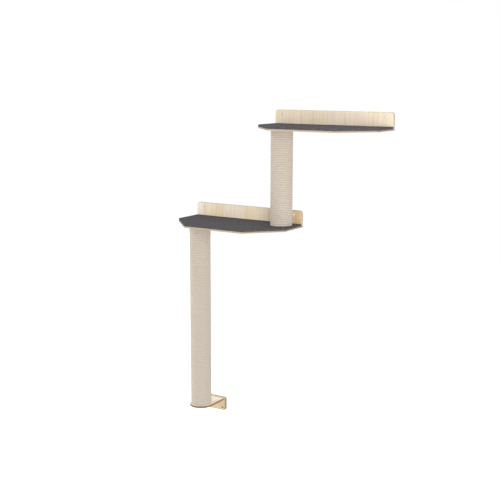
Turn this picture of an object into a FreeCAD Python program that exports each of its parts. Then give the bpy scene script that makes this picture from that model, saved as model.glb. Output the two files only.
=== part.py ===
import FreeCAD
import Part
import math
import os

# Cat climbing wall: two shelves with felt tops on low wall boards, a short post between the shelves,
# and a long post from the lower shelf down to a small foot bracket. Both posts are wound with rope.
# Sizes are in millimetres. +X runs right along the wall, -Y out into the room, +Z up.
# The origin is on the wall, midway between the two wall holes of the upper board.

# Shelves: a panel with square sides, sloping corners and a straight front
shelf_width = 520.0
shelf_depth = 278.0
shelf_side_depth = 148.0
shelf_front_width = 272.0
shelf_corner_radius = 12.0
ply_thickness = 6.0
ply_edge_chamfer = 0.8

# Felt pads, cut a little smaller than the shelf they lie on
felt_thickness = 8.0
felt_inset = 0.6
felt_edge_chamfer = 1.5
felt_gap = 0.5

# Wall boards, which stand on the back edge of each shelf
board_thickness = 12.0
board_rise = 54.0
board_corner_radius = 12.0
board_edge_chamfer = 1.0
wall_hole_diameter = 10.0
wall_hole_inset = 36.0
wall_hole_drop = 17.0

# Posts: a cardboard tube wound with rope, measured from panel to panel
post_diameter = 90.0
rope_diameter = 7.0
rope_turn_gap = 0.1
rope_end_gap = 0.5
tube_wall = 4.0
glue_gap = 0.2
short_post_length = 400.0
short_post_left_inset = 67.0
short_post_right_inset = 59.0
short_post_depth = 74.0
long_post_length = 800.0
long_post_left_inset = 86.0
long_post_depth = 114.0

# End plugs of the posts, each with a tee nut pressed in from its inner side
plug_thickness = 18.0
nut_flange_width = 22.0
nut_flange_thickness = 1.5
nut_barrel_diameter = 10.0
nut_barrel_length = 11.0
thread_clearance = 0.1

# Countersunk bolts that hold the panels to the plugs
bolt_diameter = 8.0
bolt_length = 30.0
bolt_head_diameter = 16.0
bolt_socket_across = 5.0
bolt_socket_depth = 2.6
bolt_clearance = 0.3

# Countersunk wood screws
screw_diameter = 3.5
screw_length = 35.0
screw_head_diameter = 7.0
screw_clearance = 0.1

# Foot bracket: a round-fronted plate under the long post and a plate on the wall
foot_plate_margin = 5.0
foot_plate_thickness = 9.0
foot_wall_overhang = 8.0
foot_wall_thickness = 15.0
foot_wall_height = 60.0
foot_wall_rise = 4.0
foot_wall_corner_radius = 8.0
foot_hole_side_inset = 14.0
foot_hole_bottom_inset = 13.0

# One overrun for all cutting tools, and how close an edge lies to the place where it is looked for
overrun = 2.0
edge_tolerance = 0.01

# Places of the screws along a board, as shares of the half width of what they hold
board_screw_shares = (-0.6, 0.6)
foot_screw_shares = (-0.5, 0.5)

# Directions
RIGHT = FreeCAD.Vector(1, 0, 0)
DOWN = FreeCAD.Vector(0, 0, -1)
UP = FreeCAD.Vector(0, 0, 1)
ROOM = FreeCAD.Vector(0, -1, 0)

# Derived sizes
post_radius = post_diameter / 2
tube_radius = post_radius - rope_diameter
plug_radius = tube_radius - tube_wall - glue_gap
board_height = board_rise + felt_thickness
rope_pitch = rope_diameter + rope_turn_gap
foot_plate_radius = post_radius + foot_plate_margin
foot_wall_half_width = foot_plate_radius + foot_wall_overhang

# Derived places
unit_shift = shelf_width - short_post_left_inset - short_post_right_inset
upper_x = -shelf_width / 2
upper_z = wall_hole_drop - board_height
lower_x = upper_x - unit_shift
lower_z = upper_z - ply_thickness - short_post_length
foot_z = lower_z - ply_thickness - long_post_length
short_post_x = upper_x + short_post_left_inset
long_post_x = lower_x + long_post_left_inset


def box(x, y, z, width, depth, height):
    """Block from its left, wall-side, lower corner; its depth runs out into the room."""
    return Part.makeBox(width, depth, height, FreeCAD.Vector(x, y - depth, z))


def prism(points, direction):
    """Solid swept from a closed polygon along a direction."""
    outline = Part.makePolygon(points + [points[0]])
    return Part.Face(outline).extrude(direction)


def turned(outline):
    """Solid of revolution about Z from points of radius and height."""
    points = [FreeCAD.Vector(radius, 0, height) for radius, height in outline]
    wire = Part.makePolygon(points + [points[0]])
    return Part.Face(wire).revolve(FreeCAD.Vector(), UP, 360)


def aimed(shape, point, direction):
    """Copy of a shape drawn head up at the origin, with its head at a point and its tip along a direction."""
    copy = shape.copy()
    copy.Placement = FreeCAD.Placement(point, FreeCAD.Rotation(DOWN, direction))
    return copy


def near(value, target):
    """Whether a coordinate is at a target, within the edge tolerance."""
    return abs(value - target) < edge_tolerance


def edges_at(shape, test):
    """Edges of a shape whose middle point passes a test."""
    return [edge for edge in shape.Edges if test(edge.CenterOfMass)]


def upright_edges(shape):
    """Edges of a shape that run parallel to Z."""
    return [edge for edge in shape.Edges if near(edge.Length, edge.BoundBox.ZLength)]


def wall_hole(x, z, thickness):
    """Cutting tool for a hole through a board on the wall."""
    start = FreeCAD.Vector(x, overrun, z)
    return Part.makeCylinder(wall_hole_diameter / 2, thickness + 2 * overrun, start, ROOM)


def countersunk(diameter, length, head_diameter):
    """Countersunk fastener with a plain shank, head up at the origin."""
    radius = diameter / 2
    head_radius = head_diameter / 2
    return turned([(0, 0), (head_radius, 0), (radius, radius - head_radius), (radius, -length), (0, -length)])


def countersunk_hole(diameter, length, head_diameter, clearance):
    """Cutting tool for a countersunk fastener, with its mouth at the origin."""
    radius = diameter / 2 + clearance
    head_radius = head_diameter / 2 + clearance
    end = -length - clearance
    outline = [
        (0, overrun),
        (head_radius, overrun),
        (head_radius, 0),
        (radius, radius - head_radius),
        (radius, end),
        (0, end),
    ]
    return turned(outline)


def hexagon_socket(across, depth):
    """Cutting tool for a hexagon socket, with its mouth at the origin."""
    radius = across / math.sqrt(3)
    points = []
    for corner in range(6):
        angle = math.radians(60 * corner)
        points.append(FreeCAD.Vector(radius * math.cos(angle), radius * math.sin(angle), -depth))
    return prism(points, UP * (depth + overrun))


def bolt():
    """Countersunk bolt with a hexagon socket, head up at the origin."""
    body = countersunk(bolt_diameter, bolt_length, bolt_head_diameter)
    return body.cut(hexagon_socket(bolt_socket_across, bolt_socket_depth))


def bolt_hole():
    """Cutting tool for a bolt, with its mouth at the origin."""
    return countersunk_hole(bolt_diameter, bolt_length, bolt_head_diameter, bolt_clearance)


def screw():
    """Countersunk wood screw, head up at the origin."""
    return countersunk(screw_diameter, screw_length, screw_head_diameter)


def screw_hole():
    """Cutting tool for a wood screw, with its mouth at the origin."""
    return countersunk_hole(screw_diameter, screw_length, screw_head_diameter, screw_clearance)


def shelf_panel(left, bottom, thickness, inset, chamfer, rim_height):
    """Panel with the plan of a shelf, drawn in by an inset, with a chamfer round its rim at one height."""
    half_front = shelf_front_width / 2
    middle = left + shelf_width / 2
    right = left + shelf_width
    points = [
        FreeCAD.Vector(left, 0, bottom),
        FreeCAD.Vector(left, -shelf_side_depth, bottom),
        FreeCAD.Vector(middle - half_front, -shelf_depth, bottom),
        FreeCAD.Vector(middle + half_front, -shelf_depth, bottom),
        FreeCAD.Vector(right, -shelf_side_depth, bottom),
        FreeCAD.Vector(right, 0, bottom),
    ]
    plan = Part.Face(Part.makePolygon(points + [points[0]]))
    if inset > 0:
        plan = plan.makeOffset2D(-inset, 2)
    panel = plan.extrude(UP * thickness)
    corners = [edge for edge in upright_edges(panel) if not near(edge.CenterOfMass.y, -inset)]
    panel = panel.makeFillet(shelf_corner_radius, corners)
    rim = edges_at(panel, lambda at: near(at.z, rim_height) and not near(at.y, -inset))
    return panel.makeChamfer(chamfer, rim)


def board_screw_places(left, bottom):
    """Points on the underside of a shelf where screws enter, under the middle of the wall board."""
    half_width = shelf_width / 2
    return [FreeCAD.Vector(left + half_width + share * half_width, -board_thickness / 2, bottom)
            for share in board_screw_shares]


def shelf_board(left, top, bolts):
    """Plywood shelf with holes for the board screws and for the bolts given as point and direction."""
    bottom = top - ply_thickness
    panel = shelf_panel(left, bottom, ply_thickness, 0, ply_edge_chamfer, bottom)
    for place in board_screw_places(left, bottom):
        panel = panel.cut(aimed(screw_hole(), place, UP))
    for place, direction in bolts:
        panel = panel.cut(aimed(bolt_hole(), place, direction))
    return panel


def felt_pad(left, shelf_top):
    """Felt pad that lies on a shelf and ends just in front of the wall board."""
    top = shelf_top + felt_thickness
    pad = shelf_panel(left, shelf_top, felt_thickness, felt_inset, felt_edge_chamfer, top)
    back = box(left - overrun, overrun, shelf_top - overrun, shelf_width + 2 * overrun,
               board_thickness + felt_gap + overrun, felt_thickness + 2 * overrun)
    return pad.cut(back)


def lower_felt_pad():
    """Felt pad of the lower shelf, with a round hole for the foot of the short post."""
    pad = felt_pad(lower_x, lower_z)
    hole = Part.makeCylinder(post_radius + felt_gap, felt_thickness + 2 * overrun,
                             FreeCAD.Vector(short_post_x, -short_post_depth, lower_z - overrun))
    return pad.cut(hole)


def wall_board(left, shelf_top):
    """Wall board with round upper corners, two wall holes and pilot holes in its lower edge."""
    board = box(left, 0, shelf_top, shelf_width, board_thickness, board_height)
    top = shelf_top + board_height
    middle = left + shelf_width / 2
    corners = edges_at(board, lambda at: near(at.z, top) and near(abs(at.x - middle), shelf_width / 2))
    board = board.makeFillet(board_corner_radius, corners)
    rim = edges_at(board, lambda at: near(at.y, -board_thickness) and not near(at.z, shelf_top))
    board = board.makeChamfer(board_edge_chamfer, rim)
    for x in (left + wall_hole_inset, left + shelf_width - wall_hole_inset):
        board = board.cut(wall_hole(x, top - wall_hole_drop, board_thickness))
    for place in board_screw_places(left, shelf_top - ply_thickness):
        board = board.cut(aimed(screw_hole(), place, UP))
    return board


def board_screws(left, shelf_top):
    """Screws driven up through a shelf into its wall board."""
    places = board_screw_places(left, shelf_top - ply_thickness)
    return Part.makeCompound([aimed(screw(), place, UP) for place in places])


def post_ends(x, depth, bottom, length):
    """Centres of a post's two end faces, each with the direction into the post."""
    foot = FreeCAD.Vector(x, -depth, bottom)
    return [(foot, UP), (foot + UP * length, DOWN)]


def post_tube(x, depth, bottom, length):
    """Cardboard tube of a post."""
    base = FreeCAD.Vector(x, -depth, bottom)
    outside = Part.makeCylinder(tube_radius, length, base)
    inside = Part.makeCylinder(tube_radius - tube_wall, length, base)
    return outside.cut(inside)


def post_rope(x, depth, bottom, length):
    """Rope winding of a post as a sleeve of the rope's thickness, just clear of the panels at both ends."""
    span = length - 2 * rope_end_gap
    base = FreeCAD.Vector(x, -depth, bottom + rope_end_gap)
    sleeve = Part.makeCylinder(post_radius, span, base)
    return sleeve.cut(Part.makeCylinder(tube_radius + glue_gap, span, base))


def end_plug(end, inward):
    """Wooden plug in the end of a tube, bored for the barrel of its tee nut."""
    plug = Part.makeCylinder(plug_radius, plug_thickness)
    plug = plug.cut(Part.makeCylinder(nut_barrel_diameter / 2 + thread_clearance, plug_thickness))
    plug.Placement = FreeCAD.Placement(end, FreeCAD.Rotation(UP, inward))
    return plug


def tee_nut(end, inward):
    """Tee nut whose square flange lies on the inner face of a plug and whose barrel is in the plug's bore."""
    width = nut_flange_width
    flange = box(-width / 2, width / 2, plug_thickness, width, width, nut_flange_thickness)
    barrel_end = FreeCAD.Vector(0, 0, plug_thickness - nut_barrel_length)
    barrel = Part.makeCylinder(nut_barrel_diameter / 2, nut_barrel_length, barrel_end)
    thread_length = nut_barrel_length + nut_flange_thickness
    nut = flange.fuse(barrel)
    nut = nut.cut(Part.makeCylinder(bolt_diameter / 2 + thread_clearance, thread_length, barrel_end))
    nut.Placement = FreeCAD.Placement(end, FreeCAD.Rotation(UP, inward))
    return nut


def foot_plate(bolts):
    """Plate under the long post: square at the wall plate, and round in front about the post's axis."""
    bottom = foot_z - foot_plate_thickness
    left = long_post_x - foot_plate_radius
    run = long_post_depth - foot_wall_thickness
    square = box(left, -foot_wall_thickness, bottom, 2 * foot_plate_radius, run, foot_plate_thickness)
    centre = FreeCAD.Vector(long_post_x, -long_post_depth, bottom)
    plate = square.fuse(Part.makeCylinder(foot_plate_radius, foot_plate_thickness, centre)).removeSplitter()
    rims = edges_at(plate, lambda at: near(at.z, bottom) or near(at.z, foot_z))
    rims = [edge for edge in rims if not near(edge.CenterOfMass.y, -foot_wall_thickness)]
    plate = plate.makeChamfer(ply_edge_chamfer, rims)
    for place in foot_screw_places():
        plate = plate.cut(aimed(screw_hole(), place, ROOM))
    for place, direction in bolts:
        plate = plate.cut(aimed(bolt_hole(), place, direction))
    return plate


def foot_screw_places():
    """Points on the wall side of the foot wall plate where screws enter, level with the foot plate."""
    height = foot_z - foot_plate_thickness / 2
    return [FreeCAD.Vector(long_post_x + share * foot_plate_radius, 0, height) for share in foot_screw_shares]


def foot_wall_plate():
    """Plate on the wall that carries the foot plate, with two wall holes near its lower corners."""
    top = foot_z + foot_wall_rise
    bottom = top - foot_wall_height
    left = long_post_x - foot_wall_half_width
    plate = box(left, 0, bottom, 2 * foot_wall_half_width, foot_wall_thickness, foot_wall_height)
    sides = edges_at(plate, lambda at: near(abs(at.x - long_post_x), foot_wall_half_width))
    corners = [edge for edge in sides if near(edge.Length, edge.BoundBox.YLength)]
    plate = plate.makeFillet(foot_wall_corner_radius, corners)
    rim = edges_at(plate, lambda at: near(at.y, -foot_wall_thickness))
    plate = plate.makeChamfer(board_edge_chamfer, rim)
    spread = foot_wall_half_width - foot_hole_side_inset
    for x in (long_post_x - spread, long_post_x + spread):
        plate = plate.cut(wall_hole(x, bottom + foot_hole_bottom_inset, foot_wall_thickness))
    for place in foot_screw_places():
        plate = plate.cut(aimed(screw_hole(), place, ROOM))
    return plate


def build():
    """All sub-parts by name."""
    short_post = (short_post_x, short_post_depth, lower_z, short_post_length)
    long_post = (long_post_x, long_post_depth, foot_z, long_post_length)
    short_foot, short_head = post_ends(*short_post)
    long_foot, long_head = post_ends(*long_post)
    short_head_bolt = (short_head[0] + UP * ply_thickness, DOWN)
    short_foot_bolt = (short_foot[0] + DOWN * ply_thickness, UP)
    long_head_bolt = (long_head[0] + UP * ply_thickness, DOWN)
    long_foot_bolt = (long_foot[0] + DOWN * foot_plate_thickness, UP)
    parts = {
        "upper_wall_board": wall_board(upper_x, upper_z),
        "upper_shelf_board": shelf_board(upper_x, upper_z, [short_head_bolt]),
        "upper_felt_pad": felt_pad(upper_x, upper_z),
        "upper_board_screws": board_screws(upper_x, upper_z),
        "lower_wall_board": wall_board(lower_x, lower_z),
        "lower_shelf_board": shelf_board(lower_x, lower_z, [short_foot_bolt, long_head_bolt]),
        "lower_felt_pad": lower_felt_pad(),
        "lower_board_screws": board_screws(lower_x, lower_z),
        "foot_plate": foot_plate([long_foot_bolt]),
        "foot_wall_plate": foot_wall_plate(),
        "foot_screws": Part.makeCompound([aimed(screw(), place, ROOM) for place in foot_screw_places()]),
    }
    posts = {
        "short_post": (short_post, short_foot, short_head, (short_foot_bolt, short_head_bolt)),
        "long_post": (long_post, long_foot, long_head, (long_foot_bolt, long_head_bolt)),
    }
    for name, (post, foot, head, bolts) in posts.items():
        parts[name + "_tube"] = post_tube(*post)
        parts[name + "_rope"] = post_rope(*post)
        parts[name + "_plugs"] = Part.makeCompound([end_plug(*foot), end_plug(*head)])
        parts[name + "_tee_nuts"] = Part.makeCompound([tee_nut(*foot), tee_nut(*head)])
        parts[name + "_bolts"] = Part.makeCompound([aimed(bolt(), place, way) for place, way in bolts])
    return parts


def report_rope(name, length):
    """Prints how many turns of rope a post takes, and how long the rope is."""
    turns = (length - 2 * rope_end_gap) / rope_pitch
    rope_length = turns * math.hypot(math.pi * (post_diameter - rope_diameter), rope_pitch)
    print(name, "rope turns", round(turns, 1), "length in mm", round(rope_length))


def main():
    os.makedirs("parts", exist_ok=True)
    for name, shape in build().items():
        shape.exportStep("parts/" + name + ".step")
        print(name, "solids", len(shape.Solids), "valid", shape.isValid(), "volume", round(shape.Volume, 1))
    report_rope("short post", short_post_length)
    report_rope("long post", long_post_length)


main()
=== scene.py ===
"""Cat climbing wall: plywood shelves with felt tops, rope-wound posts and a foot bracket, in a plain studio.

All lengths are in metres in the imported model's frame: +X right along the wall, -Y out into the room, +Z up.
"""
import logging
import math
from dataclasses import dataclass
from enum import Enum
from typing import Any

import bmesh
import bpy
import numpy as np
from bpy.types import Material, Mesh, Node, NodeSocket, NodeTree, Object
from mathutils import Matrix, Vector, noise


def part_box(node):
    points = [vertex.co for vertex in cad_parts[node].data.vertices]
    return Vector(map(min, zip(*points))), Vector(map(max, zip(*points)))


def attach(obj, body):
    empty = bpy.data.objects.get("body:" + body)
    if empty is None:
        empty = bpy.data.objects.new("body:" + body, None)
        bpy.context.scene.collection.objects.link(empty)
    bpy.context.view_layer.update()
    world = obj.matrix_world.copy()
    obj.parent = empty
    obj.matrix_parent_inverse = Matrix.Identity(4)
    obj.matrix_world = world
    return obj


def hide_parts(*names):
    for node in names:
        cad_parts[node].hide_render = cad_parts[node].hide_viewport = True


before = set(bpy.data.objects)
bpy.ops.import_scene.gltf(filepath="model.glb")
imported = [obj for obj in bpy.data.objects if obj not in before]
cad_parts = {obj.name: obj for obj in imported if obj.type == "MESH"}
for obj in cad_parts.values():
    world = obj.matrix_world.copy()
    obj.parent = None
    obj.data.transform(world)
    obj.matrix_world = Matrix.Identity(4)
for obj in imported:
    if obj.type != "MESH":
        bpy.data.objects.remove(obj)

logging.basicConfig(level=logging.INFO, format="%(message)s")
log = logging.getLogger("cat_climbing_wall")

MM = 0.001
MERGE_REACH = 0.001 * MM
UP = Vector((0, 0, 1))
PLY_ROUGHNESS = 0.7


class Axis(Enum):
    """An axis of the frame, by its place in a vector."""

    X = 0
    Y = 1
    Z = 2


class Slot(Enum):
    """Material slots of the record."""

    PLYWOOD = "birch_plywood"
    FELT = "grey_felt"
    ROPE = "sisal_rope"
    CARDBOARD = "cardboard_tube"
    PLUG = "plug_wood"
    STEEL = "zinc_plated_steel"


def linear(colour: str) -> tuple[float, float, float, float]:
    """Turns an sRGB hex colour to the linear values that shaders take.

    Args:
        colour: Six hex digits after a hash sign.

    Returns:
        Linear red, green and blue, with an alpha of one.
    """
    shares = [int(colour[i:i + 2], 16) / 255 for i in (1, 3, 5)]
    red, green, blue = [s / 12.92 if s <= 0.04045 else ((s + 0.055) / 1.055) ** 2.4 for s in shares]
    return red, green, blue, 1.0


def add_node(tree: NodeTree, kind: str, settings: dict[Any, Any] | None = None,
             links: dict[Any, Node | NodeSocket] | None = None) -> Node:
    """Adds a shader node with its settings and links.

    Args:
        tree: The node tree that gets the node.
        kind: The node's type, without the words ShaderNode.
        settings: Values by the name of a property, or by the name or number of an input.
        links: Sockets, or nodes for their first output, to link from, by the name or number of the input.

    Returns:
        The new node.
    """
    node = tree.nodes.new("ShaderNode" + kind)
    for key, value in (settings or {}).items():
        if isinstance(key, str) and hasattr(node, key):
            setattr(node, key, value)
        else:
            node.inputs[key].default_value = value
    for key, source in (links or {}).items():
        tree.links.new(source.outputs[0] if isinstance(source, Node) else source, node.inputs[key])
    return node


@dataclass(frozen=True)
class Finish:
    """A surface finish, which makes one material round a principled shader."""

    name: str
    roughness: float

    def material(self) -> Material:
        """Makes the finish's material.

        Returns:
            The material, with its nodes.
        """
        material = bpy.data.materials.new(self.name)
        material.use_nodes = True
        tree = material.node_tree
        tree.nodes.clear()
        shader = add_node(tree, "BsdfPrincipled", {"Roughness": self.roughness})
        add_node(tree, "OutputMaterial", links={"Surface": shader})
        self.paint(tree, shader)
        return material

    def paint(self, tree: NodeTree, shader: Node) -> None:
        """Gives the shader its colour and relief.

        Args:
            tree: The material's node tree.
            shader: The principled shader.
        """
        raise NotImplementedError

    def two_tone(self, tree: NodeTree, pattern: Node | NodeSocket, limits: tuple[float, float],
                 tones: tuple[str, str]) -> NodeSocket:
        """Adds a colour that turns from one tone to another as a pattern grows.

        Args:
            tree: The material's node tree.
            pattern: The pattern's socket or node.
            limits: The pattern's values where the first tone ends and where the second is full.
            tones: The two tones.

        Returns:
            The socket of the colour.
        """
        start, end = limits
        share = add_node(tree, "MapRange", {"From Min": start, "From Max": end}, {"Value": pattern})
        tone = add_node(tree, "Mix", {"data_type": "RGBA", 6: linear(tones[0]), 7: linear(tones[1])},
                        {0: share})
        return tone.outputs[2]


@dataclass(frozen=True)
class BirchPlywood(Finish):
    """Rotary cut birch plywood, sanded and matt sealed: silky pale faces with soft streaks along the grain.

    The edges show the veneers in turn, long grain pale and end grain brown. The yellow heartwood starts and
    ends at places along X, which lie off the object unless a board gives its own. The walls of bored holes
    get
    painted light: they are painted paler than the wood, which lifts their shade.
    """

    grain: Axis
    layers: Axis
    layer_start: float
    layer_thickness: float
    pale: str = "#EDE1CC"
    warm: str = "#DFCBA9"
    rosy: str = "#E2D1BD"
    edge_long: str = "#C9B9A2"
    edge_end: str = "#80644A"
    heart: str = "#D6B67F"
    heart_start: float = 10.0
    heart_end: float = 11.0
    heart_strength: float = 1.5
    # Painted light: the walls of bored holes are painted this pale colour, which lifts the shade that falls
    # in them.
    painted_hole_light: str = "#F4EDDE"
    painted_light_hole_node: str | None = None
    painted_hole_light_strength: float = 0.8
    painted_hole_light_margin: float = 5 * MM
    with_grain_share: float = 0.62
    streak_width: float = 7 * MM
    streak_stretch: float = 22
    patch_width: float = 85 * MM
    patch_stretch: float = 4
    mark_limits: tuple[float, float] = (0.34, 0.66)
    # Fibres and pores are finer on the real board. They are drawn coarser, so that they show in the render.
    fibre_width: float = 1.6 * MM
    fibre_stretch: float = 40
    pore_width: float = 0.8 * MM
    pore_stretch: float = 12
    face_flatness: float = 0.9
    sawn_limits: tuple[float, float] = (0.35, 0.85)
    relief_strength: float = 0.25
    relief_depth: float = 0.06 * MM
    shine: float = 0.2

    def paint(self, tree: NodeTree, shader: Node) -> None:
        """Paints the faces, the edges and painted light in bored holes, and lays fine fibres and pores over
        them.

        Args:
            tree: The material's node tree.
            shader: The principled shader.
        """
        coordinates = add_node(tree, "TexCoord")
        place = coordinates.outputs["Object"]
        facing = add_node(tree, "SeparateXYZ", links={0: coordinates.outputs["Normal"]})
        edge = self.edge_colour(tree, place, facing)
        # Painted light in the bored holes, which lifts the shade inside them.
        if self.painted_light_hole_node:
            hole_with_painted_light = add_node(tree, "Mix", {"data_type": "RGBA", 7: linear(self.painted_hole_light)},
                             {0: self.painted_hole_light_mask(tree, place), 6: edge})
            edge = hole_with_painted_light.outputs[2]
        flatness = add_node(tree, "Math", {"operation": "ABSOLUTE"}, {0: facing.outputs[self.layers.value]})
        is_face = add_node(tree, "Math", {"operation": "GREATER_THAN", 1: self.face_flatness},
                           {0: flatness})
        wood = add_node(tree, "Mix", {"data_type": "RGBA"},
                        {0: is_face, 6: edge, 7: self.face_colour(tree, place)})
        fibres = self.stretched_noise(tree, place, self.fibre_width, self.fibre_stretch)
        pores = self.stretched_noise(tree, place, self.pore_width, self.pore_stretch)
        fibre_shade = add_node(tree, "MapRange",
                               {"From Min": 0.3, "From Max": 0.7, "To Min": 0.95, "To Max": 1.03},
                               {"Value": fibres})
        pore_shade = add_node(tree, "MapRange",
                              {"From Min": 0.62, "From Max": 0.7, "To Min": 1.0, "To Max": 0.88},
                              {"Value": pores})
        shade = add_node(tree, "Math", {"operation": "MULTIPLY"}, {0: fibre_shade, 1: pore_shade})
        shaded = add_node(tree, "VectorMath", {"operation": "SCALE"},
                          {0: wood.outputs[2], "Scale": shade})
        tree.links.new(shaded.outputs[0], shader.inputs["Base Color"])
        relief = add_node(tree, "Bump", {"Strength": self.relief_strength, "Distance": self.relief_depth},
                          {"Height": fibres})
        tree.links.new(relief.outputs[0], shader.inputs["Normal"])
        shader.inputs["Specular IOR Level"].default_value = self.shine

    def face_colour(self, tree: NodeTree, place: NodeSocket) -> NodeSocket:
        """Adds the sapwood's streaks and wide tone patches, and the heartwood where the board has any.

        Args:
            tree: The material's node tree.
            place: The socket of Object coordinates.

        Returns:
            The socket of the face veneers' colour.
        """
        streaks = self.stretched_noise(tree, place, self.streak_width, self.streak_stretch)
        patches = self.stretched_noise(tree, place, self.patch_width, self.patch_stretch)
        tone = self.two_tone(tree, patches, self.mark_limits, (self.warm, self.rosy))
        start, end = self.mark_limits
        streak_share = add_node(tree, "MapRange", {"From Min": start, "From Max": end}, {"Value": streaks})
        sapwood = add_node(tree, "Mix", {"data_type": "RGBA", 7: linear(self.pale)},
                           {0: streak_share, 6: tone})
        along = add_node(tree, "SeparateXYZ", links={0: place})
        heart_share = add_node(tree, "MapRange", {"From Min": self.heart_start, "From Max": self.heart_end},
                               {"Value": along.outputs[Axis.X.value]})
        streaked = add_node(tree, "Math", {"operation": "MULTIPLY"}, {0: heart_share, 1: streaks})
        heart = add_node(tree, "Math", {"operation": "MULTIPLY", 1: self.heart_strength}, {0: streaked})
        face = add_node(tree, "Mix", {"data_type": "RGBA", 7: linear(self.heart)},
                        {0: heart, 6: sapwood.outputs[2]})
        return face.outputs[2]

    def edge_colour(self, tree: NodeTree, place: NodeSocket, facing: Node) -> NodeSocket:
        """Adds the veneers in turn, each the more brown the more squarely its own grain is cut.

        Args:
            tree: The material's node tree.
            place: The socket of Object coordinates.
            facing: The node that splits the surface's normal.

        Returns:
            The socket of the edges' colour.
        """
        across = add_node(tree, "SeparateXYZ", links={0: place})
        depth = add_node(tree, "Math", {"operation": "SUBTRACT", 1: self.layer_start},
                         {0: across.outputs[self.layers.value]})
        turn = add_node(tree, "Math", {"operation": "DIVIDE", 1: 2 * self.layer_thickness}, {0: depth})
        turn_share = add_node(tree, "Math", {"operation": "FRACT"}, {0: turn})
        is_cross = add_node(tree, "Math", {"operation": "GREATER_THAN", 1: self.with_grain_share},
                            {0: turn_share})
        squareness = add_node(tree, "Math", {"operation": "ABSOLUTE"}, {0: facing.outputs[self.grain.value]})
        start, end = self.sawn_limits
        sawn_share = add_node(tree, "MapRange", {"From Min": start, "From Max": end},
                              {"Value": squareness})
        swapped = add_node(tree, "Math", {"operation": "SUBTRACT"}, {0: is_cross, 1: sawn_share})
        end_share = add_node(tree, "Math", {"operation": "ABSOLUTE"}, {0: swapped})
        veneer = add_node(tree, "Mix",
                          {"data_type": "RGBA", 6: linear(self.edge_long), 7: linear(self.edge_end)},
                          {0: end_share})
        return veneer.outputs[2]

    def painted_hole_light_mask(self, tree: NodeTree, place: NodeSocket) -> NodeSocket:
        """Tells bored holes, whose walls get painted light, from the board's sealed outer edges.

        Args:
            tree: The material's node tree.
            place: The socket of Object coordinates.

        Returns:
            The socket of the painted light's share, which is none at the board's outline.
        """
        low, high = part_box(self.painted_light_hole_node)
        reach = (high - low) / 2 - Vector((1, 1, 1)) * self.painted_hole_light_margin
        offset = add_node(tree, "VectorMath", {"operation": "SUBTRACT", 1: (low + high) / 2}, {0: place})
        distance = add_node(tree, "VectorMath", {"operation": "ABSOLUTE"}, {0: offset})
        room = add_node(tree, "VectorMath", {"operation": "SUBTRACT", 0: reach}, {1: distance})
        split = add_node(tree, "SeparateXYZ", links={0: room})
        first, second = [split.outputs[axis.value] for axis in Axis if axis is not self.layers]
        least = add_node(tree, "Math", {"operation": "MINIMUM"}, {0: first, 1: second})
        is_inside = add_node(tree, "Math", {"operation": "GREATER_THAN", 1: 0.0}, {0: least})
        painted_hole_light_share = add_node(tree, "Math", {"operation": "MULTIPLY", 1: self.painted_hole_light_strength}, {0: is_inside})
        return painted_hole_light_share.outputs[0]

    def stretched_noise(self, tree: NodeTree, place: NodeSocket, width: float, stretch: float) -> NodeSocket:
        """Adds noise that runs out along the grain.

        Args:
            tree: The material's node tree.
            place: The socket of Object coordinates.
            width: How wide one mark of the noise is across the grain.
            stretch: How many times longer it is along the grain.

        Returns:
            The socket of the noise.
        """
        scale = [1 / width] * 3
        scale[self.grain.value] /= stretch
        space = add_node(tree, "Mapping", {"Scale": scale}, {"Vector": place})
        marks = add_node(tree, "TexNoise", {"Scale": 1.0, "Detail": 3.0}, {"Vector": space})
        return marks.outputs[0]


@dataclass(frozen=True)
class NeedledFelt(Finish):
    """Needle-punched wool and polyester felt: dull, dark grey, with pale flecks and a haze of fibres."""

    dark: str = "#413F41"
    fleck: str = "#5F5D60"
    haze: str = "#C4C4CC"
    # Real flecks are about 1 mm wide. They are drawn coarser, so that they show in the render.
    fleck_width: float = 3.2 * MM
    cloud_width: float = 12 * MM
    fleck_limits: tuple[float, float] = (0.74, 1.3)
    fibre_width: float = 0.5 * MM
    relief_strength: float = 0.6
    relief_depth: float = 0.12 * MM
    shine: float = 0.05
    haze_weight: float = 0.03
    haze_spread: float = 0.3

    def paint(self, tree: NodeTree, shader: Node) -> None:
        """Paints the mix of dark and pale fibres, with a fuzzy relief.

        Args:
            tree: The material's node tree.
            shader: The principled shader.
        """
        place = add_node(tree, "TexCoord").outputs["Object"]
        flecks = add_node(tree, "TexNoise",
                          {"Scale": 1 / self.fleck_width, "Detail": 4.0, "Roughness": 0.65},
                          {"Vector": place})
        clouds = add_node(tree, "TexNoise",
                          {"Scale": 1 / self.cloud_width, "Detail": 3.0}, {"Vector": place})
        fibres = add_node(tree, "TexNoise",
                          {"Scale": 1 / self.fibre_width, "Detail": 2.0, "Distortion": 1.5},
                          {"Vector": place})
        mixed = add_node(tree, "Math", {"operation": "ADD"}, {0: flecks, 1: clouds})
        colour = self.two_tone(tree, mixed, self.fleck_limits, (self.dark, self.fleck))
        tree.links.new(colour, shader.inputs["Base Color"])
        relief = add_node(tree, "Bump", {"Strength": self.relief_strength, "Distance": self.relief_depth},
                          {"Height": fibres})
        tree.links.new(relief.outputs[0], shader.inputs["Normal"])
        shader.inputs["Specular IOR Level"].default_value = self.shine
        shader.inputs["Sheen Weight"].default_value = self.haze_weight
        shader.inputs["Sheen Roughness"].default_value = self.haze_spread
        shader.inputs["Sheen Tint"].default_value = linear(self.haze)


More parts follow.
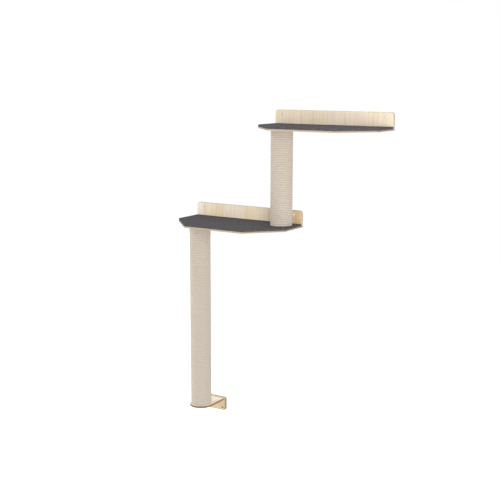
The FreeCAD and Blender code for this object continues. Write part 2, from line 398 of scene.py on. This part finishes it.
@dataclass(frozen=True)
class LaidRope(Finish):
    """Three-strand laid sisal rope, combed pale: matt cream fibres, with painted shade where the strands
    meet.

    It reads the winding's UV map, which runs in metres along the rope and once round its section.
    """

    pale: str = "#CCC2B6"
    fibre: str = "#B9AEA0"
    # Painted shade for the creases where the strands meet; groove_share sets how much of it there is.
    groove_shade: str = "#9C8D7E"
    groove_share: float = 0.3
    strands: int = 3
    rope_circumference: float = 22 * MM
    # Sisal fibres are about 0.2 mm thick. They are drawn as bundles, so that they show in a close view.
    fibre_width: float = 0.5 * MM
    fibre_stretch: float = 20
    fibre_limits: tuple[float, float] = (0.35, 0.65)
    relief_strength: float = 0.5
    relief_depth: float = 0.12 * MM
    haze_weight: float = 0.1
    haze_spread: float = 0.6

    def paint(self, tree: NodeTree, shader: Node) -> None:
        """Paints fibres along the strands and painted shade in the lines between them.

        Args:
            tree: The material's node tree.
            shader: The principled shader.
        """
        uv = add_node(tree, "UVMap", {"uv_map": "along_rope"}).outputs[0]
        metres = add_node(tree, "VectorMath",
                          {"operation": "MULTIPLY", 1: (1.0, self.rope_circumference, 1.0)}, {0: uv})
        fibre_scale = 1 / (self.fibre_stretch * self.fibre_width), 1 / self.fibre_width, 1.0
        space = add_node(tree, "Mapping", {"Scale": fibre_scale}, {"Vector": metres})
        fibres = add_node(tree, "TexNoise", {"Scale": 1.0, "Detail": 3.0}, {"Vector": space})
        colour = self.two_tone(tree, fibres, self.fibre_limits, (self.fibre, self.pale))
        split = add_node(tree, "SeparateXYZ", links={0: uv})
        turned = add_node(tree, "Math", {"operation": "MULTIPLY", 1: math.tau * self.strands},
                          {0: split.outputs[1]})
        crest = add_node(tree, "Math", {"operation": "COSINE"}, {0: turned})
        # Painted shade: darker towards the creases between strands.
        groove_shade = add_node(tree, "MapRange",
                          {"From Min": -0.5, "From Max": -1.0, "To Max": self.groove_share},
                          {"Value": crest})
        shaded = add_node(tree, "Mix", {"data_type": "RGBA", 7: linear(self.groove_shade)},
                          {0: groove_shade, 6: colour})
        tree.links.new(shaded.outputs[2], shader.inputs["Base Color"])
        relief = add_node(tree, "Bump", {"Strength": self.relief_strength, "Distance": self.relief_depth},
                          {"Height": fibres})
        tree.links.new(relief.outputs[0], shader.inputs["Normal"])
        shader.inputs["Sheen Weight"].default_value = self.haze_weight
        shader.inputs["Sheen Roughness"].default_value = self.haze_spread


@dataclass(frozen=True)
class SpiralCardboard(Finish):
    """Spirally wound brown core board: matt kraft paper with darker specks."""

    board: str = "#B08D63"
    speck: str = "#8A6A45"
    speck_width: float = 1.5 * MM
    speck_limits: tuple[float, float] = (0.55, 0.75)

    def paint(self, tree: NodeTree, shader: Node) -> None:
        """Paints paper specks.

        Args:
            tree: The material's node tree.
            shader: The principled shader.
        """
        place = add_node(tree, "TexCoord").outputs["Object"]
        specks = add_node(tree, "TexNoise",
                          {"Scale": 1 / self.speck_width, "Detail": 5.0}, {"Vector": place})
        colour = self.two_tone(tree, specks, self.speck_limits, (self.board, self.speck))
        tree.links.new(colour, shader.inputs["Base Color"])


@dataclass(frozen=True)
class Fibreboard(Finish):
    """Medium-density fibreboard, sawn and unsealed: even tan with a felted speck."""

    tan: str = "#B39468"
    speck: str = "#93744B"
    speck_width: float = 0.9 * MM
    speck_limits: tuple[float, float] = (0.0, 1.0)

    def paint(self, tree: NodeTree, shader: Node) -> None:
        """Paints fine specks.

        Args:
            tree: The material's node tree.
            shader: The principled shader.
        """
        place = add_node(tree, "TexCoord").outputs["Object"]
        specks = add_node(tree, "TexNoise",
                          {"Scale": 1 / self.speck_width, "Detail": 3.0}, {"Vector": place})
        colour = self.two_tone(tree, specks, self.speck_limits, (self.speck, self.tan))
        tree.links.new(colour, shader.inputs["Base Color"])


@dataclass(frozen=True)
class ZincPlate(Finish):
    """Bright zinc-plated steel: cool grey metal, clouded by its clear passivation, with an uneven shine."""

    steel: str = "#BFC3C8"
    cloud: str = "#A9ADB0"
    cloud_width: float = 2.5 * MM
    cloud_limits: tuple[float, float] = (0.35, 0.7)
    grit_width: float = 0.4 * MM
    relief_strength: float = 0.4
    relief_depth: float = 0.01 * MM
    smoother: float = 0.08
    rougher: float = 0.12

    def paint(self, tree: NodeTree, shader: Node) -> None:
        """Gives the metal its clouded colour, an uneven roughness and a fine grit.

        Args:
            tree: The material's node tree.
            shader: The principled shader.
        """
        place = add_node(tree, "TexCoord").outputs["Object"]
        clouds = add_node(tree, "TexNoise",
                          {"Scale": 1 / self.cloud_width, "Detail": 3.0}, {"Vector": place})
        colour = self.two_tone(tree, clouds, self.cloud_limits, (self.steel, self.cloud))
        tree.links.new(colour, shader.inputs["Base Color"])
        dull = add_node(tree, "MapRange",
                        {"To Min": self.roughness - self.smoother, "To Max": self.roughness + self.rougher},
                        {"Value": clouds})
        tree.links.new(dull.outputs[0], shader.inputs["Roughness"])
        grit = add_node(tree, "TexNoise", {"Scale": 1 / self.grit_width, "Detail": 2.0}, {"Vector": place})
        relief = add_node(tree, "Bump", {"Strength": self.relief_strength, "Distance": self.relief_depth},
                          {"Height": grit})
        tree.links.new(relief.outputs[0], shader.inputs["Normal"])
        shader.inputs["Metallic"].default_value = 1.0


def dress_node(node: str, material: Material) -> None:
    """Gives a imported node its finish.

    Args:
        node: The node's name.
        material: The material of its finish.
    """
    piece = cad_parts[node]
    piece.data.materials.clear()
    piece.data.materials.append(material)
    log.info("%s: %s", node, material.name)


def as_mesh(shape: bmesh.types.BMesh, name: str) -> Mesh:
    """Makes a mesh of a shape, and frees the shape.

    Args:
        shape: The finished shape.
        name: The mesh's name.

    Returns:
        The new mesh.
    """
    mesh = bpy.data.meshes.new(name)
    shape.to_mesh(mesh)
    shape.free()
    return mesh


def cut_away(mesh: Mesh, tool_mesh: Mesh) -> Mesh:
    """Cuts a tool's volume out of a closed mesh.

    Args:
        mesh: The mesh that loses the volume.
        tool_mesh: The tool, whose closed shells may cross each other.

    Returns:
        The mesh that is left.
    """
    blank = bpy.data.objects.new("blank", mesh)
    tool = bpy.data.objects.new("tool", tool_mesh)
    for item in (blank, tool):
        bpy.context.scene.collection.objects.link(item)
    cut = blank.modifiers.new("cut", "BOOLEAN")
    cut.operation = "DIFFERENCE"
    cut.solver = "EXACT"
    cut.use_self = True
    cut.object = tool
    graph = bpy.context.evaluated_depsgraph_get()
    result = bpy.data.meshes.new_from_object(blank.evaluated_get(graph))
    for item in (blank, tool):
        bpy.data.objects.remove(item)
    return result


def finish_piece(name: str, mesh: Mesh, material: Material, slot: Slot,
                 *nodes: str, crease_degrees: float = 80.0) -> Object:
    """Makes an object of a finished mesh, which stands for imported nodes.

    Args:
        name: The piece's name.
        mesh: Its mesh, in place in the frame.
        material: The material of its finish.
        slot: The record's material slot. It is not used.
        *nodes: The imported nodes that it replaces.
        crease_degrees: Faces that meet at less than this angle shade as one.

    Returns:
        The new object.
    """
    mesh.materials.append(material)
    mesh.polygons.foreach_set("use_smooth", [True] * len(mesh.polygons))
    mesh.set_sharp_from_angle(angle=math.radians(crease_degrees))
    piece = bpy.data.objects.new(name, mesh)
    bpy.context.scene.collection.objects.link(piece)
    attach(piece, "root")
    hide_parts(*nodes)
    log.info("%s: %d faces, %s", name, len(mesh.polygons), material.name)
    return piece


@dataclass(frozen=True)
class FeltPad:
    """Felt pad of one shelf: the shelf's plan a little smaller, with soft rims and a slightly uneven top."""

    node: str
    shelf_node: str
    wall_node: str
    post_node: str | None = None
    side_depth: float = 148 * MM
    front_width: float = 272 * MM
    corner_reach: float = 5 * MM
    corner_steps: int = 6
    inset: float = 0.6 * MM
    wall_gap: float = 0.5 * MM
    rim_radius: float = 1.6 * MM
    rim_steps: int = 3
    cell: float = 8 * MM
    swell: float = 0.35 * MM
    swell_width: float = 45 * MM
    hole_segments: int = 96
    hole_tool_heights: int = 4

    def plan(self, mesh: bmesh.types.BMesh) -> None:
        """Draws the pad's plan as one face at its lower side.

        Args:
            mesh: The mesh that gets the face.
        """
        low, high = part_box(self.shelf_node)
        middle = (low.x + high.x) / 2
        half_front = self.front_width / 2
        outline = [
            (low.x, high.y), (low.x, -self.side_depth), (middle - half_front, low.y),
            (middle + half_front, low.y), (high.x, -self.side_depth), (high.x, high.y),
        ]
        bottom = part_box(self.node)[0].z
        corners = [mesh.verts.new((x, y, bottom)) for x, y in outline]
        mesh.faces.new(corners)
        bmesh.ops.bevel(mesh, geom=corners[1:5], affect="VERTICES", offset=self.corner_reach,
                        segments=self.corner_steps, profile=0.5, material=-1, offset_type="OFFSET")
        face = mesh.faces[:][0]
        rim = bmesh.ops.inset_region(mesh, faces=[face], thickness=self.inset, use_even_offset=True)
        bmesh.ops.delete(mesh, geom=rim["faces"], context="FACES")
        wall_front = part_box(self.wall_node)[0].y - self.wall_gap
        whole = mesh.verts[:] + mesh.edges[:] + mesh.faces[:]
        bmesh.ops.bisect_plane(mesh, geom=whole, dist=MERGE_REACH, plane_co=(0, wall_front, 0),
                               plane_no=(0, 1, 0), clear_outer=True)

    def build(self) -> Mesh:
        """Makes the pad's mesh.

        Returns:
            The mesh, in place in the frame.
        """
        shape = bmesh.new()
        self.plan(shape)
        low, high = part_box(self.node)
        raised = bmesh.ops.extrude_face_region(shape, geom=shape.faces[:])
        top_verts = [part for part in raised["geom"] if isinstance(part, bmesh.types.BMVert)]
        bmesh.ops.translate(shape, vec=UP * (high.z - low.z), verts=top_verts)
        bmesh.ops.recalc_face_normals(shape, faces=shape.faces[:])
        rims = [edge for edge in shape.edges if abs(edge.verts[0].co.z - edge.verts[1].co.z) < MM]
        bmesh.ops.bevel(shape, geom=rims, affect="EDGES", offset=self.rim_radius, segments=self.rim_steps,
                        profile=0.5, material=-1, offset_type="OFFSET")
        mesh = as_mesh(shape, self.node + "_felt")
        if self.post_node:
            mesh = self.cut_hole(mesh)
        return self.soften(mesh)

    def cut_hole(self, mesh: Mesh) -> Mesh:
        """Cuts the round hole through which a post reaches the shelf.

        Args:
            mesh: The pad's mesh.

        Returns:
            The mesh with the hole.
        """
        low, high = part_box(self.post_node)
        centre = (low + high) / 2
        pad_low, pad_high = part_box(self.node)
        reach = (high.x - low.x) / 2 + self.wall_gap
        shape = bmesh.new()
        bmesh.ops.create_cone(shape, cap_ends=True, segments=self.hole_segments,
                              radius1=reach, radius2=reach,
                              depth=self.hole_tool_heights * (pad_high.z - pad_low.z),
                              matrix=Matrix.Translation((centre.x, centre.y, pad_high.z)))
        return cut_away(mesh, as_mesh(shape, "hole_tool"))

    def soften(self, mesh: Mesh) -> Mesh:
        """Divides the pad into small cells and gives it the slight swell of felt.

        Args:
            mesh: The pad's mesh.

        Returns:
            The same mesh, softened.
        """
        low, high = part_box(self.node)
        shape = bmesh.new()
        shape.from_mesh(mesh)
        for axis in (Axis.X, Axis.Y):
            normal = Vector([float(i == axis.value) for i in range(3)])
            start = low[axis.value]
            cuts = int((high[axis.value] - start) / self.cell)
            for number in range(1, cuts + 1):
                whole = shape.verts[:] + shape.edges[:] + shape.faces[:]
                bmesh.ops.bisect_plane(shape, geom=whole, dist=MERGE_REACH, plane_no=normal,
                                       plane_co=normal * (start + number * self.cell))
        for vert in shape.verts:
            share = (vert.co.z - low.z) / (high.z - low.z)
            vert.co.z += self.swell * share * noise.noise(vert.co / self.swell_width)
        bmesh.ops.recalc_face_normals(shape, faces=shape.faces[:])
        shape.to_mesh(mesh)
        shape.free()
        return mesh

    def dress(self, felt: Material) -> None:
        """Builds the pad and gives it its finish.

        Args:
            felt: The felt's material.
        """
        pad = finish_piece(self.node + "_cut", self.build(), felt, Slot.FELT, self.node)


@dataclass(frozen=True)
class WoundPost:
    """Post of a cardboard tube wound with laid rope, with a plug, a tee nut and a bolt at each end."""

    name: str
    rope_lengths: tuple[str, ...]
    rope_diameter: float = 7 * MM
    turn_gap: float = 0.1 * MM
    lay_length: float = 24.3 * MM
    strands: int = LaidRope.strands
    groove_share: float = 0.1
    press_power: float = 0.58
    fill: float = 1.04
    section_points: int = 12
    steps_per_turn: int = 132
    start_angle: float = math.radians(135)
    step_up_share: float = 0.16
    tip_share: float = 0.12

    def wind(self, start: float, end: float, all_turns: int, title: str) -> Mesh:
        """Winds one length of rope as an unbroken helix of twisted strands.

        Args:
            start: The turn where this length starts, counted from the post's foot.
            end: The turn where it ends.
            all_turns: How many turns the post has.
            title: The mesh's name.

        Returns:
            The mesh, in place in the frame.
        """
        shape = bmesh.new()
        upright = Matrix.Translation((self.rope_diameter, 0, 0)) @ Matrix.Rotation(math.pi / 2, 4, "X")
        bmesh.ops.create_circle(shape, segments=self.section_points, radius=self.rope_diameter / 2,
                                matrix=upright)
        blank = bpy.data.objects.new(title + "_blank", as_mesh(shape, title + "_section"))
        bpy.context.scene.collection.objects.link(blank)
        screw = blank.modifiers.new("turns", "SCREW")
        screw.axis = "Z"
        screw.angle = math.tau * (end - start)
        screw.screw_offset = 2 * self.rope_diameter * (end - start)
        screw.steps = screw.render_steps = round((end - start) * self.steps_per_turn)
        graph = bpy.context.evaluated_depsgraph_get()
        mesh = bpy.data.meshes.new_from_object(blank.evaluated_get(graph))
        bpy.data.objects.remove(blank)
        mesh.name = title
        shape = bmesh.new()
        shape.from_mesh(mesh)
        bmesh.ops.holes_fill(shape, edges=[edge for edge in shape.edges if edge.is_boundary],
                             sides=self.section_points)
        bmesh.ops.recalc_face_normals(shape, faces=shape.faces[:])
        shape.to_mesh(mesh)
        shape.free()
        self.twist(mesh, start, end, all_turns)
        return mesh

    def twist(self, mesh: Mesh, start: float, end: float, all_turns: int) -> None:
        """Lays the plain helix round the tube as twisted strands, and maps the rope's length and section.

        Args:
            mesh: The helix, ring after ring of the section's points.
            start: The turn where it starts.
            end: The turn where it ends.
            all_turns: How many turns the post has.
        """
        low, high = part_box(self.name + "_rope")
        centre = (low + high) / 2
        winding_radius = (high.x - low.x - self.rope_diameter) / 2
        pitch = (high.z - low.z) / (all_turns + self.fill)
        index = np.arange(len(mesh.vertices))
        point = index % self.section_points
        ring = index // self.section_points
        turn = start + (end - start) * ring / ring.max()
        length = turn * math.hypot(math.tau * winding_radius, pitch)
        phase = math.tau * point / self.section_points
        lobe = 1 - self.groove_share * (1 - np.cos(self.strands * phase)) / 2
        angle = phase + math.tau * length / self.lay_length
        reach = winding_radius + self.rope_diameter / 2 * lobe * self.pressed(np.cos(angle))
        around = self.start_angle + math.tau * turn
        starting = self.eased(1 + turn / self.step_up_share)
        ending = self.eased(1 - (turn - all_turns) / self.step_up_share)
        half_height = self.fill * pitch / 2 * np.maximum(starting * ending, self.tip_share)
        middle = low.z + self.fill * pitch / 2 + pitch * self.climb(turn, all_turns)
        middle = np.where(turn < 0, low.z + half_height, middle)
        middle = np.where(turn > all_turns, high.z - half_height, middle)
        height = middle + half_height * lobe * self.pressed(np.sin(angle))
        columns = centre.x + reach * np.cos(around), centre.y + reach * np.sin(around), height
        mesh.vertices.foreach_set("co", np.stack(columns, axis=1).ravel())
        corner = np.zeros(len(mesh.loops), dtype=np.int32)
        mesh.loops.foreach_get("vertex_index", corner)
        first = np.zeros(len(mesh.polygons), dtype=np.int32)
        sides = np.zeros(len(mesh.polygons), dtype=np.int32)
        mesh.polygons.foreach_get("loop_start", first)
        mesh.polygons.foreach_get("loop_total", sides)
        face = np.repeat(np.arange(len(first)), sides)
        last_point = np.maximum.reduceat(point[corner], first)[face]
        wraps = (last_point == self.section_points - 1) & (point[corner] == 0)
        across = (point[corner] + self.section_points * wraps) / self.section_points
        layer = mesh.uv_layers.new(name="along_rope")
        layer.data.foreach_set("uv", np.stack([length[corner], across], axis=1).ravel())
        mesh.update()

    def climb(self, turn: np.ndarray, all_turns: int) -> np.ndarray:
        """Gives the height of each place along the rope, counted in turns.

        The first and the last turn run flat along the boards and step up at the back. From there the turns
        ease into an even helix at the post's middle, and none comes nearer to the next than it does there.

        Args:
            turn: How many turns lie below each place, as if the helix were even.
            all_turns: How many turns the post has.

        Returns:
            The heights, in turns.
        """
        whole = np.clip(np.floor(turn), 0, all_turns - 1)
        share = turn - whole
        late = self.eased(1 + (share - 1) / self.step_up_share)
        early = self.eased(share / self.step_up_share)
        half = (all_turns - 1) / 2
        low_weight = np.clip(1 - whole / half, 0, 1)
        high_weight = np.clip(whole / half - 1, 0, 1)
        return turn + low_weight * (late - share) + high_weight * (early - share)

    def eased(self, share: np.ndarray) -> np.ndarray:
        """Rises smoothly from zero to one, and stays there beyond its ends."""
        share = np.clip(share, 0, 1)
        return share * share * (3 - 2 * share)

    def pressed(self, share: np.ndarray) -> np.ndarray:
        """Squares the rope's section a little, as turns that are wound tight press each other."""
        return np.sign(share) * np.abs(share) ** self.press_power

    def dress(self, rope: Material, cardboard: Material, plug: Material, steel: Material) -> None:
        """Winds the rope and gives the post's pieces their finishes.

        Args:
            rope: The rope's material.
            cardboard: The tube's material.
            plug: The plugs' material.
            steel: The fasteners' material.
        """
        low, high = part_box(self.name + "_rope")
        lengths = len(self.rope_lengths)
        turns = int((high.z - low.z) / (self.rope_diameter + self.turn_gap) / lengths) * lengths
        joints = [turns * number / lengths for number in range(lengths + 1)]
        joints[0] -= self.step_up_share
        joints[-1] += self.step_up_share
        for title, start, end in zip(self.rope_lengths, joints, joints[1:]):
            mesh = self.wind(start, end, turns, title)
            finish_piece(title, mesh, rope, Slot.ROPE, self.name + "_rope")
        dress_node(self.name + "_tube", cardboard)
        dress_node(self.name + "_plugs", plug)
        dress_node(self.name + "_tee_nuts", steel)
        dress_node(self.name + "_bolts", steel)


@dataclass(frozen=True)
class ScrewPair:
    """Two countersunk wood screws side by side, with cross recesses."""

    node: str
    direction: tuple[float, float, float]
    head_diameter: float = 7 * MM
    shank_diameter: float = 3.5 * MM
    land: float = 0.1 * MM
    point_length: float = 6 * MM
    recess_reach: float = 4.2 * MM
    recess_width: float = 1.0 * MM
    recess_depth: float = 1.6 * MM
    recess_floor_share: float = 0.5
    segments: int = 48
    crease_degrees: float = 30.0

    def turn_body(self, length: float) -> Mesh:
        """Turns one screw with its head's face at the origin and its point up.

        Args:
            length: The screw's whole length.

        Returns:
            The screw without its recess.
        """
        head, shank = self.head_diameter / 2, self.shank_diameter / 2
        profile = [(0, 0), (head, 0), (head, self.land), (shank, self.land + head - shank),
                   (shank, length - self.point_length), (0, length)]
        shape = bmesh.new()
        corners = [shape.verts.new((reach, 0, height)) for reach, height in profile]
        edges = [shape.edges.new(pair) for pair in zip(corners, corners[1:])]
        bmesh.ops.spin(shape, geom=corners + edges, axis=UP, cent=(0, 0, 0), angle=math.tau,
                       steps=self.segments, use_merge=True)
        bmesh.ops.remove_doubles(shape, verts=shape.verts[:], dist=self.land / 10)
        bmesh.ops.recalc_face_normals(shape, faces=shape.faces[:])
        return as_mesh(shape, self.node + "_body")

    def cross_tool(self) -> Mesh:
        """Makes the two crossed, tapering blades that sink the recess.

        Returns:
            The tool, as deep above the head's face as below it.
        """
        corner_reach = self.recess_reach / math.sqrt(2)
        flatten = Matrix.Diagonal((1, self.recess_width / self.recess_reach, 1, 1))
        blade = flatten @ Matrix.Rotation(math.pi / 4, 4, "Z")
        shape = bmesh.new()
        for quarter_turns in range(2):
            bmesh.ops.create_cone(shape, cap_ends=True, segments=4, depth=2 * self.recess_depth,
                                  radius1=corner_reach * (2 - self.recess_floor_share),
                                  radius2=corner_reach * self.recess_floor_share,
                                  matrix=Matrix.Rotation(quarter_turns * math.pi / 2, 4, "Z") @ blade)
        return as_mesh(shape, self.node + "_cross")

    def dress(self, steel: Material) -> None:
        """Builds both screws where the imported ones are, and gives them their finish.

        Args:
            steel: The screws' material.
        """
        low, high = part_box(self.node)
        aim = Vector(self.direction)
        length = abs((high - low).dot(aim))
        single = cut_away(self.turn_body(length), self.cross_tool())
        start = (low + high) / 2 - aim * length / 2
        turned = aim.to_track_quat("Z", "Y").to_matrix().to_4x4()
        shape = bmesh.new()
        for place_x in (low.x + self.head_diameter / 2, high.x - self.head_diameter / 2):
            screw = single.copy()
            screw.transform(Matrix.Translation((place_x, start.y, start.z)) @ turned)
            shape.from_mesh(screw)
        title = self.node + "_pair"
        finish_piece(title, as_mesh(shape, title), steel, Slot.STEEL, self.node,
                     crease_degrees=self.crease_degrees)


@dataclass(frozen=True)
class ShelfUnit:
    """Shelf with its wall board, the screws between them and its felt pad."""

    name: str
    post_node: str | None = None
    heart_start: float = BirchPlywood.heart_start
    heart_end: float = BirchPlywood.heart_end

    def dress(self, felt: Material, steel: Material) -> None:
        """Gives the unit's pieces their finishes.

        Args:
            felt: The pad's material.
            steel: The screws' material.
        """
        shelf, wall = self.name + "_shelf_board", self.name + "_wall_board"
        shelf_ply = BirchPlywood(
            self.name + " shelf birch plywood", PLY_ROUGHNESS, grain=Axis.X, layers=Axis.Z,
            layer_start=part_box(shelf)[0].z, layer_thickness=1.2 * MM)
        # The wall board's bored holes get painted light, which lifts their shade.
        wall_ply = BirchPlywood(
            self.name + " wall board birch plywood", PLY_ROUGHNESS, grain=Axis.Z, layers=Axis.Y,
            layer_start=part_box(wall)[0].y, layer_thickness=1.5 * MM, pale="#E9DDC9", warm="#DFCBA2",
            rosy="#E3D0BB", edge_long="#C4B9A3", edge_end="#B9AC92", heart_start=self.heart_start,
            heart_end=self.heart_end, painted_light_hole_node=wall)
        dress_node(shelf, shelf_ply.material())
        dress_node(wall, wall_ply.material())
        ScrewPair(self.name + "_board_screws", (0, 0, 1)).dress(steel)
        FeltPad(self.name + "_felt_pad", shelf, wall, self.post_node).dress(felt)


@dataclass(frozen=True)
class FootBracket:
    """Plate under the long post, the plate on the wall that carries it, and the screws between them."""

    def dress(self, steel: Material) -> None:
        """Gives the bracket's pieces their finishes.

        Args:
            steel: The screws' material.
        """
        # Painted light: the foot plate's faces are painted paler than the wood, in place of light on its top,
        # which the post shades.
        painted_light_foot_ply = BirchPlywood(
            "foot plate birch plywood with painted light", PLY_ROUGHNESS, grain=Axis.Y, layers=Axis.Z,
            layer_start=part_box("foot_plate")[0].z, layer_thickness=1.3 * MM, pale="#F6EEDF", warm="#EFE2C9",
            rosy="#EFE0D0", edge_long="#A3825D", edge_end="#70543A")
        # The foot wall plate's bored holes get a weaker share of painted light.
        wall_ply = BirchPlywood(
            "foot wall plate birch plywood", PLY_ROUGHNESS, grain=Axis.X, layers=Axis.Y,
            layer_start=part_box("foot_wall_plate")[0].y, layer_thickness=1.5 * MM, pale="#D6C7A9",
            warm="#C8B086", rosy="#CCB396", edge_long="#D0BFA4", edge_end="#7F6A4B",
            painted_light_hole_node="foot_wall_plate", painted_hole_light_strength=0.3)
        dress_node("foot_plate", painted_light_foot_ply.material())
        dress_node("foot_wall_plate", wall_ply.material())
        ScrewPair("foot_screws", (0, -1, 0)).dress(steel)


@dataclass(frozen=True)
class SoftLamp:
    """Large square lamp panel."""

    name: str
    place: tuple[float, float, float]
    watts: float
    width: float = 2.0

    def build(self, aim: Vector) -> None:
        """Hangs the panel and turns it to the object.

        Args:
            aim: The point that it faces.
        """
        panel = bpy.data.lights.new(self.name, "AREA")
        panel.size = self.width
        panel.energy = self.watts
        lamp = bpy.data.objects.new(self.name, panel)
        lamp.location = self.place
        lamp.rotation_euler = (aim - Vector(self.place)).to_track_quat("-Z", "Y").to_euler()
        bpy.context.scene.collection.objects.link(lamp)


@dataclass(frozen=True)
class Studio:
    """Plain white studio: a floor well below the wall-hung object, soft lamps and the camera."""

    camera_place: tuple[float, float, float] = (1.75603, -3.39300, 0.15787)
    yaw_degrees: float = 32.3068
    pitch_degrees: float = 10.3794
    roll_degrees: float = 0.1003
    lens_mm: float = 69.0725
    sensor_mm: float = 36.0
    floor_height: float = -1.95
    floor_width: float = 14.0
    floor_glow: float = 0.8
    floor_grey: float = 0.8
    world_strength: float = 0.58
    aim: tuple[float, float, float] = (-0.2, -0.1, -0.6)
    lamps: tuple[SoftLamp, ...] = (
        SoftLamp("overhead lamp", (-0.2, -1.4, 2.4), 13.0),
        SoftLamp("high left lamp", (-2.4, -3.0, 1.6), 23.0),
        SoftLamp("near right lamp", (1.5, -1.9, -0.1), 40.0, 1.2),
        SoftLamp("left side lamp", (-3.0, -0.8, -0.4), 40.0),
        SoftLamp("right side lamp", (3.0, -0.6, -0.2), 11.0),
        SoftLamp("back lamp", (-0.4, 3.0, 1.2), 34.0),
    )

    def build(self) -> None:
        """Makes the camera, the world, the lamps and the floor."""
        self.set_camera()
        self.light_world()
        for lamp in self.lamps:
            lamp.build(Vector(self.aim))
        self.lay_floor()

    def set_camera(self) -> None:
        """Aims the camera as the photograph was taken, and keeps the view transform plain."""
        yaw, pitch, roll = map(math.radians, (self.yaw_degrees, self.pitch_degrees, self.roll_degrees))
        level = Vector((math.cos(yaw), math.sin(yaw), 0))
        forward = UP.cross(level) * math.cos(pitch) - UP * math.sin(pitch)
        raised = level.cross(forward)
        right = level * math.cos(roll) + raised * math.sin(roll)
        upward = raised * math.cos(roll) - level * math.sin(roll)
        lens = bpy.data.cameras.new("camera")
        lens.lens = self.lens_mm
        lens.sensor_width = self.sensor_mm
        camera = bpy.data.objects.new("camera", lens)
        turn = Matrix((right, upward, -forward)).transposed().to_4x4()
        camera.matrix_world = Matrix.Translation(self.camera_place) @ turn
        bpy.context.scene.collection.objects.link(camera)
        bpy.context.scene.camera = camera
        bpy.context.scene.view_settings.view_transform = "Standard"

    def light_world(self) -> None:
        """Lights the object from all round, and shows plain white to the camera and to reflections."""
        world = bpy.data.worlds.new("studio")
        world.use_nodes = True
        bpy.context.scene.world = world
        tree = world.node_tree
        tree.nodes.clear()
        seen = self.seen_share(tree)
        strength = add_node(tree, "MapRange", {"To Min": self.world_strength, "To Max": 1.0},
                            {"Value": seen})
        light = add_node(tree, "Background", {"Color": linear("#FFFFFF")}, {"Strength": strength})
        add_node(tree, "OutputWorld", links={"Surface": light})

    def seen_share(self, tree: NodeTree) -> NodeSocket:
        """Adds the nodes that are one for rays from the camera, from a gloss and through glass.

        Args:
            tree: The node tree that gets the nodes.

        Returns:
            The socket of that share.
        """
        path = add_node(tree, "LightPath")
        direct = add_node(tree, "Math", {"operation": "MAXIMUM"},
                          {0: path.outputs["Is Camera Ray"], 1: path.outputs["Is Glossy Ray"]})
        seen = add_node(tree, "Math", {"operation": "MAXIMUM"},
                        {0: direct, 1: path.outputs["Is Transmission Ray"]})
        return seen.outputs[0]

    def lay_floor(self) -> None:
        """Lays a white floor that keeps the object's soft shadow."""
        shape = bmesh.new()
        bmesh.ops.create_grid(shape, x_segments=1, y_segments=1, size=self.floor_width / 2,
                              matrix=Matrix.Translation((0, 0, self.floor_height)))
        mesh = as_mesh(shape, "floor")
        material = bpy.data.materials.new("matt white floor")
        material.use_nodes = True
        tree = material.node_tree
        tree.nodes.clear()
        matt = add_node(tree, "BsdfDiffuse", {"Color": [self.floor_grey] * 3 + [1.0]})
        glow = add_node(tree, "Emission", {"Color": linear("#FFFFFF"), "Strength": self.floor_glow})
        both = add_node(tree, "AddShader", links={0: matt, 1: glow})
        shown = add_node(tree, "MixShader", links={0: self.seen_share(tree), 1: matt, 2: both})
        add_node(tree, "OutputMaterial", links={"Surface": shown})
        mesh.materials.append(material)
        floor = bpy.data.objects.new("floor", mesh)
        bpy.context.scene.collection.objects.link(floor)


def main() -> None:
    """Builds and dresses the sub-assemblies in order."""
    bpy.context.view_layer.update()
    felt = NeedledFelt("needle-punched grey felt", 0.95).material()
    rope = LaidRope("laid pale sisal rope", 0.85).material()
    cardboard = SpiralCardboard("spiral wound core board", 0.85).material()
    plug = Fibreboard("sawn fibreboard", 0.8).material()
    steel = ZincPlate("bright zinc-plated steel", 0.35).material()
    Studio().build()
    ShelfUnit("upper").dress(felt, steel)
    ShelfUnit("lower", post_node="short_post_rope", heart_start=-0.235, heart_end=-0.16).dress(felt, steel)
    WoundPost("short_post", ("short_post_winding",)).dress(rope, cardboard, plug, steel)
    long_post = WoundPost("long_post", ("long_post_lower_winding", "long_post_upper_winding"))
    long_post.dress(rope, cardboard, plug, steel)
    FootBracket().dress(steel)


if __name__ == "__main__":
    main()
